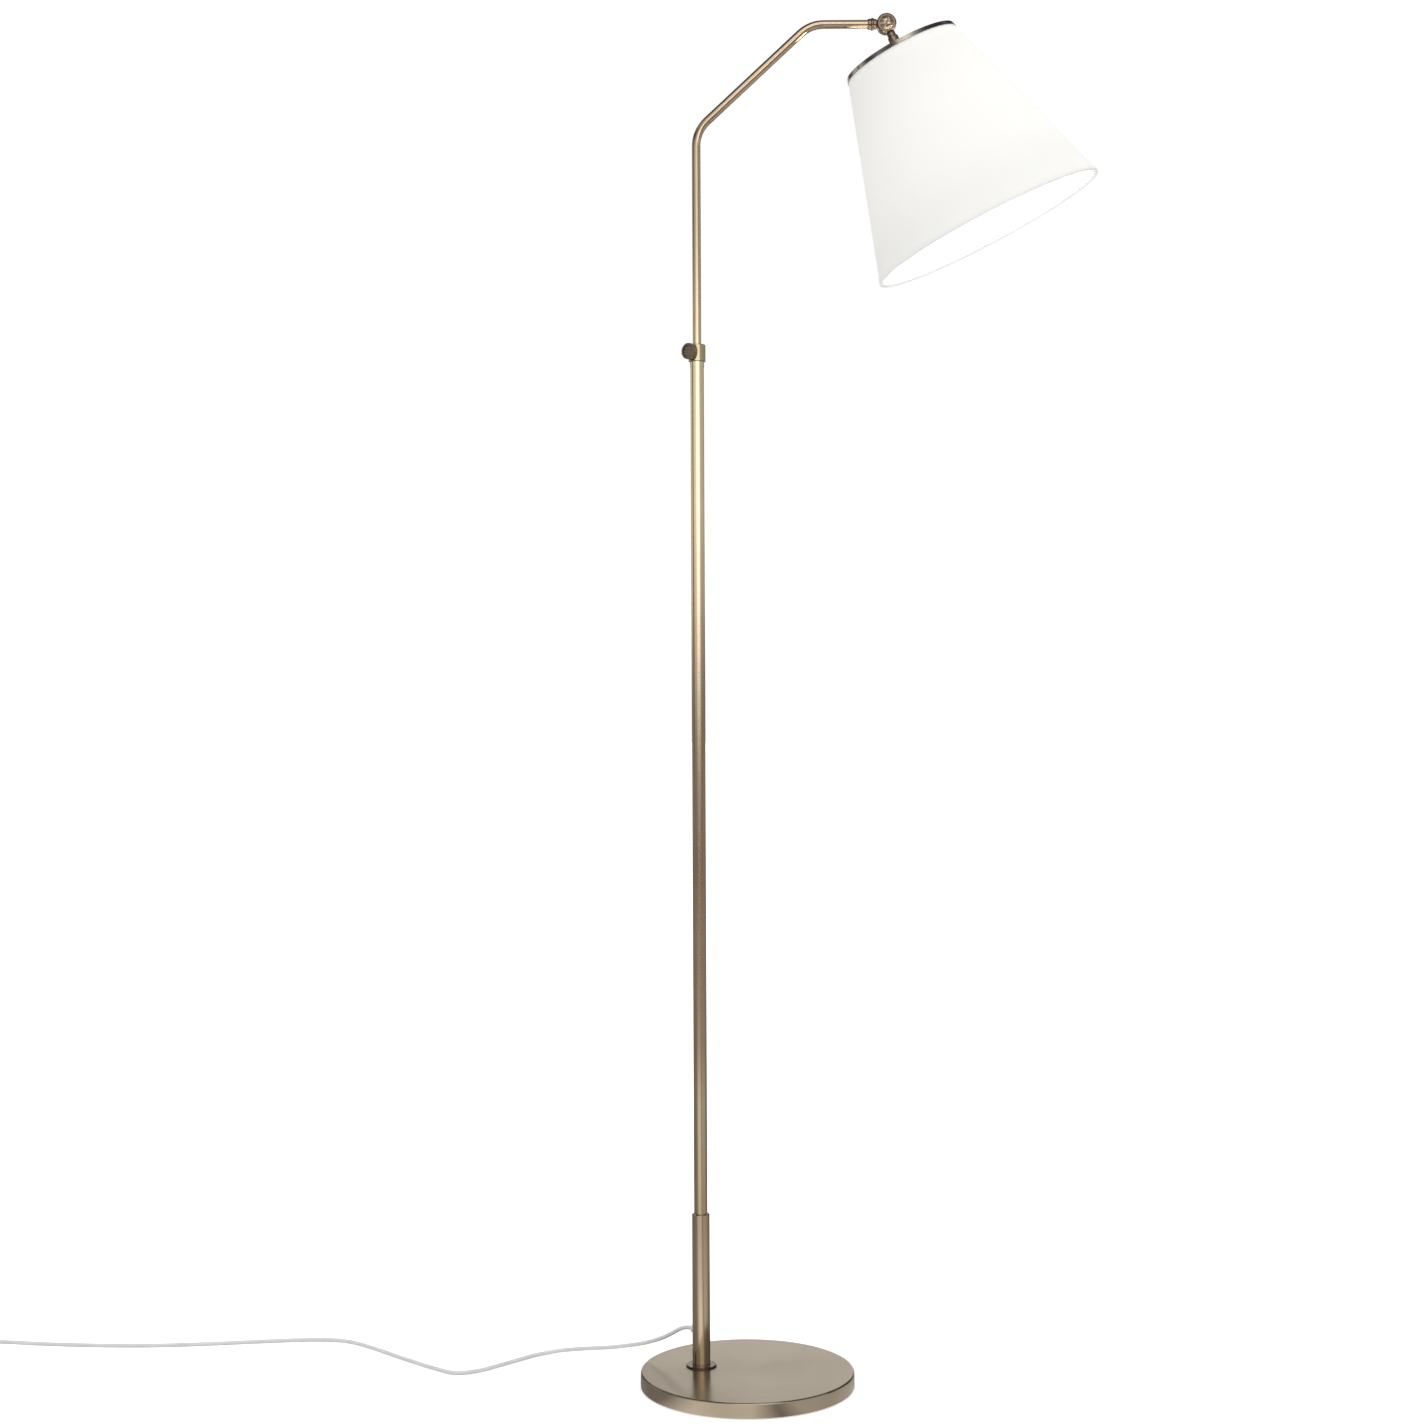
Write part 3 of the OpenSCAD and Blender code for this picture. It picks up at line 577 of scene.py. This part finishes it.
def make_plug_shell():
    """Flat two-pin plug: a rounded body, narrow at the cord and wide at the pins."""
    half = PLUG_W / 2
    taper, full = PLUG_TAPER
    right = [(PLUG_NECK, 0), (half * PLUG_SHOULDER, -taper), (half, -full), (half, -PLUG_LEN)]
    left = [(-x, y) for x, y in reversed(right)]
    outline = left[-1:] + right + left[:-1]
    bm = bmesh.new()
    low = [bm.verts.new((TAIL_X + x, PLUG_Y + y, 0)) for x, y in outline]
    high = [bm.verts.new((TAIL_X + x, PLUG_Y + y, PLUG_H)) for x, y in outline]
    bm.faces.new(low)
    bm.faces.new(high)
    for i in range(len(outline)):
        j = (i + 1) % len(outline)
        bm.faces.new((low[i], low[j], high[j], high[i]))
    bmesh.ops.recalc_face_normals(bm, faces=bm.faces)
    bmesh.ops.bevel(bm, geom=bm.edges[:], offset=PLUG_EDGE, segments=4, profile=0.6, affect="EDGES")
    for face in bm.faces:
        face.smooth = True
    mesh = bpy.data.meshes.new("plug_shell")
    bm.to_mesh(mesh)
    bm.free()
    shell = link("plug_shell", mesh, LOOKS["white"], "stand")
    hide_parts("plug_body")
    return shell


def make_relief():
    """Tapered strain relief with flexing ribs."""
    steps = RELIEF_RIBS * 4
    outer = []
    for i in range(steps + 1):
        u = i / steps
        r = RELIEF_PLUG_R + (RELIEF_CORD_R - RELIEF_PLUG_R) * u
        dip = RELIEF_DIP if i % 4 in (2, 3) and 0 < i < steps else 0.0
        outer.append((r - dip, u * RELIEF_LEN))
    bore = CORD_R + RELIEF_GAP
    inner = [(bore, RELIEF_LEN), (bore, 0.0)]
    place = Matrix.Translation((TAIL_X, RELIEF_Y, TAIL_Z)) @ Matrix.Rotation(math.pi / 2, 4, "X")
    verts, faces = lathe(outer + inner, RELIEF_STEPS, place)
    relief = mesh_object("plug_relief", verts, faces, LOOKS["white"], "stand")
    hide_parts("strain_relief")
    return relief


plug_shell = make_plug_shell()
relief = make_relief()
flex = bezier_cord("flex_cord", cord_points(), LOOKS["cord"], "stand")
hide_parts("mains_cord", "cord_coil", "cord_tail")


# ---------------------------------------------------------------- spare wiring in the pole

def make_slack_wiring():
    """The loose wiring under the arm's foot, copied as it lies at rest; on the lamp it closes up
    and draws out as the arm slides.
    """
    slack = link("slack_wiring", NODES["slack_cord"].data.copy())
    slack.data.materials[0] = LOOKS["cord"]
    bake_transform(slack)
    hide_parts("slack_cord")


make_slack_wiring()


# ---------------------------------------------------------------- shade

def shade_radius(down):
    """The cloth's outer radius at a distance below the knuckle, along the head's axis."""
    u = (down - SHADE_DROP) / (SHADE_END - SHADE_DROP)
    return SHADE_TOP_R + (SHADE_BOTTOM_R - SHADE_TOP_R) * u


def shade_profile():
    """Cross-section of the cloth, down the outside, round the rolled hem and up the inside."""
    outer, inner = [], []
    hem_from = SHADE_END - HEM
    for i in range(SHADE_ROWS + 1):
        down = SHADE_DROP + (hem_from - HEM_LEAD - SHADE_DROP) * i / SHADE_ROWS
        outer.append((shade_radius(down), -down))
        inner.append((shade_radius(down) - CLOTH, -down))
    for down, proud in ((hem_from, HEM_PROUD), (SHADE_END - HEM / 2, HEM_PROUD * 1.2),
                        (SHADE_END - HEM_ROLL, HEM_PROUD), (SHADE_END - HEM_TIP, -HEM_TUCK)):
        outer.append((shade_radius(down) + proud, -down))
        inner.append((shade_radius(down) - CLOTH - proud * 0.6, -down))
    return outer + inner[::-1]


def make_shade_cloth():
    verts, faces = lathe(shade_profile(), SHADE_STEPS, HEAD)
    cloth = mesh_object("shade_cloth", verts, faces, LOOKS["cloth"], "head")
    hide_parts("shade_fabric")


def make_shade_seam():
    """Lapped vertical seam, a narrow raised strip of the same cloth."""
    section = ((-1, -SEAM_SUNK), (-0.92, SEAM_PROUD), (0.92, SEAM_PROUD), (1, -SEAM_SUNK))
    verts, faces = [], []
    for i in range(SEAM_STEPS + 1):
        down = SHADE_DROP + SEAM_FROM + (SHADE_END - SHADE_DROP - SEAM_CLEAR) * i / SEAM_STEPS
        cloth_r = shade_radius(down)
        for side, lift in section:
            a = SEAM_AT + side * SEAM_W / 2 / cloth_r
            r = cloth_r + lift
            verts.append(HEAD @ Vector((r * math.cos(a), r * math.sin(a), -down)))
    for i in range(SEAM_STEPS):
        for k in range(4):
            m = (k + 1) % 4
            faces.append((i * 4 + k, i * 4 + m, i * 4 + 4 + m, i * 4 + 4 + k))
    faces.append((0, 1, 2, 3))
    faces.append(tuple(SEAM_STEPS * 4 + k for k in (3, 2, 1, 0)))
    seam = mesh_object("shade_seam", verts, faces, LOOKS["cloth"], "head")


make_shade_cloth()
make_shade_seam()


# ---------------------------------------------------------------- studio

FLOOR_FRONT = -4.5
FLOOR_REACH = 30.0
FLOOR_BELOW = 0.0002
FLOOR_PAINT = (0.94, 0.94, 0.935, 1)
WHITE_FROM = (0.10, 0.9)
WHITE_LEAST = 0.45
DOME = 0.57
PANEL_TOP = 2.5
PANEL_TINT = (1.0, 0.985, 0.96)
WHITE = (1.0, 1.0, 1.0)
DUSK_REACH = 5.0
AROUND = [
    # degrees round from the camera side, positive to the right, and the level reflected there
    (-180, 0.95), (-168, 0.95), (-152, 0.08), (-137, 0.08), (-125, 0.60), (-100, 0.60),
    (-90, 0.15), (-78, 0.15), (-62, 0.72), (-24, 0.85), (-12, 1.65), (28, 1.65), (42, 0.55),
    (100, 0.40), (122, 0.45), (137, 0.06), (152, 0.06), (168, 0.95), (180, 0.95),
]
UPWARD = [
    # sine of the height above the horizon, and how much of the level is left there
    (-1.0, 0.25), (-0.12, 0.25), (-0.03, 0.25), (0.01, 0.9), (0.04, 2.3), (0.15, 2.3), (0.20, 1.0),
    (0.36, 0.9), (0.44, 0.30), (0.52, 0.30), (0.60, 1.20), (0.72, 1.20), (0.80, 0.28), (1.0, 0.28),
]
DUSK = (0.46, 0.37, 0.37, 1)
DUSK_FLOOR = [
    # metres from the base, and how far the floor's reflection has gone over to DUSK there
    (0.0, 0.30), (0.25, 0.30), (0.6, 0.60), (1.4, 0.40), (1.9, 0.50), (3.0, 0.90),
    (DUSK_REACH, 0.92),
]
DUSK_SKY = [
    # sine of the height above the horizon, and the same for the sky
    (-1.0, 0.92), (-0.12, 0.92), (-0.07, 0.65), (-0.02, 0.20), (0.01, 0.0), (1.0, 0.0),
]
FLOOR_AROUND = [
    # the same as AROUND for the floor
    (-180, 0.55), (-115, 0.20), (-60, 0.42), (-34, 1.90), (2, 1.90), (18, 0.40), (32, 1.10),
    (80, 0.90), (110, 0.28), (135, 0.15), (180, 0.55),
]


def mix_colours(tree, how, factor, a, b):
    """A mix node; each of the three may be a value or a socket."""
    node = tree.nodes.new("ShaderNodeMix")
    node.data_type = "RGBA"
    node.blend_type = how
    for key, value in (("Factor", factor), ("A", a), ("B", b)):
        if isinstance(value, (float, tuple)):
            node.inputs[key].default_value = value
        else:
            tree.links.new(value, node.inputs[key])
    return node.outputs["Result"]


def level_ramp(tree, fac, stops, low, high, tint=PANEL_TINT):
    """A colour ramp over low..high from (place, level) stops."""
    node = tree.nodes.new("ShaderNodeValToRGB")
    band = node.color_ramp
    while len(band.elements) < len(stops):
        band.elements.new(0.5)
    for element, (at, level) in zip(band.elements, stops):
        element.position = (at - low) / (high - low)
        element.color = tuple(level * t for t in tint) + (1,)
    shift = tree.nodes.new("ShaderNodeMapRange")
    shift.inputs["From Min"].default_value = low
    shift.inputs["From Max"].default_value = high
    tree.links.new(fac, shift.inputs["Value"])
    tree.links.new(shift.outputs["Result"], node.inputs["Fac"])
    return node.outputs["Color"]


def bearing(tree, split):
    """Angle in radians round from -Y towards +X."""
    flip = tree.nodes.new("ShaderNodeMath")
    flip.operation = "MULTIPLY"
    flip.inputs[1].default_value = -1.0
    tree.links.new(split.outputs["Y"], flip.inputs[0])
    turn = tree.nodes.new("ShaderNodeMath")
    turn.operation = "ARCTAN2"
    tree.links.new(split.outputs["X"], turn.inputs[0])
    tree.links.new(flip.outputs[0], turn.inputs[1])
    return turn.outputs[0]


def in_radians(stops):
    return [(math.radians(a), level) for a, level in stops]


def floor_material():
    """Pale floor that fades to white with distance and mirrors unevenly in the metal."""
    mat = bpy.data.materials.new("floor_paint")
    mat.use_nodes = True
    tree = mat.node_tree
    tree.nodes.clear()
    out = tree.nodes.new("ShaderNodeOutputMaterial")
    coord = tree.nodes.new("ShaderNodeTexCoord")
    split = tree.nodes.new("ShaderNodeSeparateXYZ")
    tree.links.new(coord.outputs["Object"], split.inputs[0])
    path = tree.nodes.new("ShaderNodeLightPath")

    seen = tree.nodes.new("ShaderNodeBsdfDiffuse")
    seen.inputs["Color"].default_value = FLOOR_PAINT
    away = tree.nodes.new("ShaderNodeVectorMath")
    away.operation = "LENGTH"
    tree.links.new(coord.outputs["Object"], away.inputs[0])
    fade = tree.nodes.new("ShaderNodeMapRange")
    fade.interpolation_type = "SMOOTHSTEP"
    fade.inputs["From Min"].default_value, fade.inputs["From Max"].default_value = WHITE_FROM
    fade.inputs["To Min"].default_value = WHITE_LEAST
    tree.links.new(away.outputs["Value"], fade.inputs["Value"])
    only = tree.nodes.new("ShaderNodeMath")
    only.operation = "MULTIPLY"
    tree.links.new(fade.outputs["Result"], only.inputs[0])
    tree.links.new(path.outputs["Is Camera Ray"], only.inputs[1])
    glow = tree.nodes.new("ShaderNodeEmission")
    tree.links.new(only.outputs[0], glow.inputs["Strength"])
    both = tree.nodes.new("ShaderNodeAddShader")
    tree.links.new(seen.outputs[0], both.inputs[0])
    tree.links.new(glow.outputs[0], both.inputs[1])

    mirrored = tree.nodes.new("ShaderNodeEmission")
    spin = level_ramp(tree, bearing(tree, split), in_radians(FLOOR_AROUND), -math.pi, math.pi)
    gone = level_ramp(tree, away.outputs["Value"], DUSK_FLOOR, 0.0, DUSK_REACH, WHITE)
    tree.links.new(mix_colours(tree, "MIX", gone, spin, DUSK), mirrored.inputs["Color"])

    mix = tree.nodes.new("ShaderNodeMixShader")
    tree.links.new(path.outputs["Is Glossy Ray"], mix.inputs[0])
    tree.links.new(both.outputs[0], mix.inputs[1])
    tree.links.new(mirrored.outputs[0], mix.inputs[2])
    tree.links.new(mix.outputs[0], out.inputs[0])
    return mat


def make_floor():
    r, front = FLOOR_REACH, FLOOR_FRONT
    mesh = bpy.data.meshes.new("floor")
    mesh.from_pydata([(-r, front, 0), (r, front, 0), (r, r, 0), (-r, r, 0)], [], [(0, 1, 2, 3)])
    floor = link("floor", mesh, floor_material())
    floor.location.z = -FLOOR_BELOW


def make_world():
    """White backdrop, an even dome for soft light, and uneven panels for the metal to mirror."""
    world = bpy.data.worlds.new("studio")
    bpy.context.scene.world = world
    world.use_nodes = True
    tree = world.node_tree
    tree.nodes.clear()
    coord = tree.nodes.new("ShaderNodeTexCoord")
    split = tree.nodes.new("ShaderNodeSeparateXYZ")
    tree.links.new(coord.outputs["Generated"], split.inputs[0])
    around = level_ramp(tree, bearing(tree, split), in_radians(AROUND), -math.pi, math.pi)
    scaled = [(at, level / PANEL_TOP) for at, level in UPWARD]
    upward = level_ramp(tree, split.outputs["Z"], scaled, -1.0, 1.0)
    path = tree.nodes.new("ShaderNodeLightPath")

    panels = mix_colours(tree, "MULTIPLY", 1.0, around, upward)
    panels = mix_colours(tree, "MULTIPLY", 1.0, panels, (PANEL_TOP, PANEL_TOP, PANEL_TOP, 1))
    gone = level_ramp(tree, split.outputs["Z"], DUSK_SKY, -1.0, 1.0, WHITE)
    panels = mix_colours(tree, "MIX", gone, panels, DUSK)
    soft = mix_colours(tree, "MIX", path.outputs["Is Glossy Ray"], (DOME, DOME, DOME, 1), panels)
    seen = mix_colours(tree, "MIX", path.outputs["Is Camera Ray"], soft, (*WHITE, 1))
    back = tree.nodes.new("ShaderNodeBackground")
    out = tree.nodes.new("ShaderNodeOutputWorld")
    tree.links.new(seen, back.inputs["Color"])
    tree.links.new(back.outputs[0], out.inputs[0])


LIGHTS = [
    # name, place, aimed at, size, watts, colour, mirrored in the metal
    ("key", (2.3, -3.1, 2.8), (0.0, 0.0, 0.9), (1.6, 2.2), 3, (1.0, 0.97, 0.93), False),
    ("fill", (-2.8, -2.6, 2.3), (0.0, 0.0, 0.9), (1.6, 2.0), 8, (1.0, 0.98, 0.95), False),
    ("top", (0.0, 0.6, 4.2), (0.0, 0.0, 0.0), (4.5, 4.5), 60, (1.0, 1.0, 1.0), False),
    ("strip", (0.3, -1.9, 3.0), (0.0, 0.0, 0.0), (2.4, 0.9), 10, (1.0, 0.98, 0.95), True),
]


def make_lights():
    for name, place, aim, size, watts, colour, mirrored in LIGHTS:
        data = bpy.data.lights.new(name, "AREA")
        data.shape = "RECTANGLE"
        data.size, data.size_y = size
        data.energy = watts
        data.color = colour
        light = bpy.data.objects.new(name, data)
        light.visible_glossy = mirrored
        data.diffuse_factor = 0.0 if mirrored else 1.0
        bpy.context.scene.collection.objects.link(light)
        way = Vector(aim) - Vector(place)
        turn = way.to_track_quat("-Z", "Y").to_matrix().to_4x4()
        light.matrix_world = Matrix.Translation(place) @ turn


make_floor()
make_world()
make_lights()
bpy.context.scene.view_settings.view_transform = "Standard"
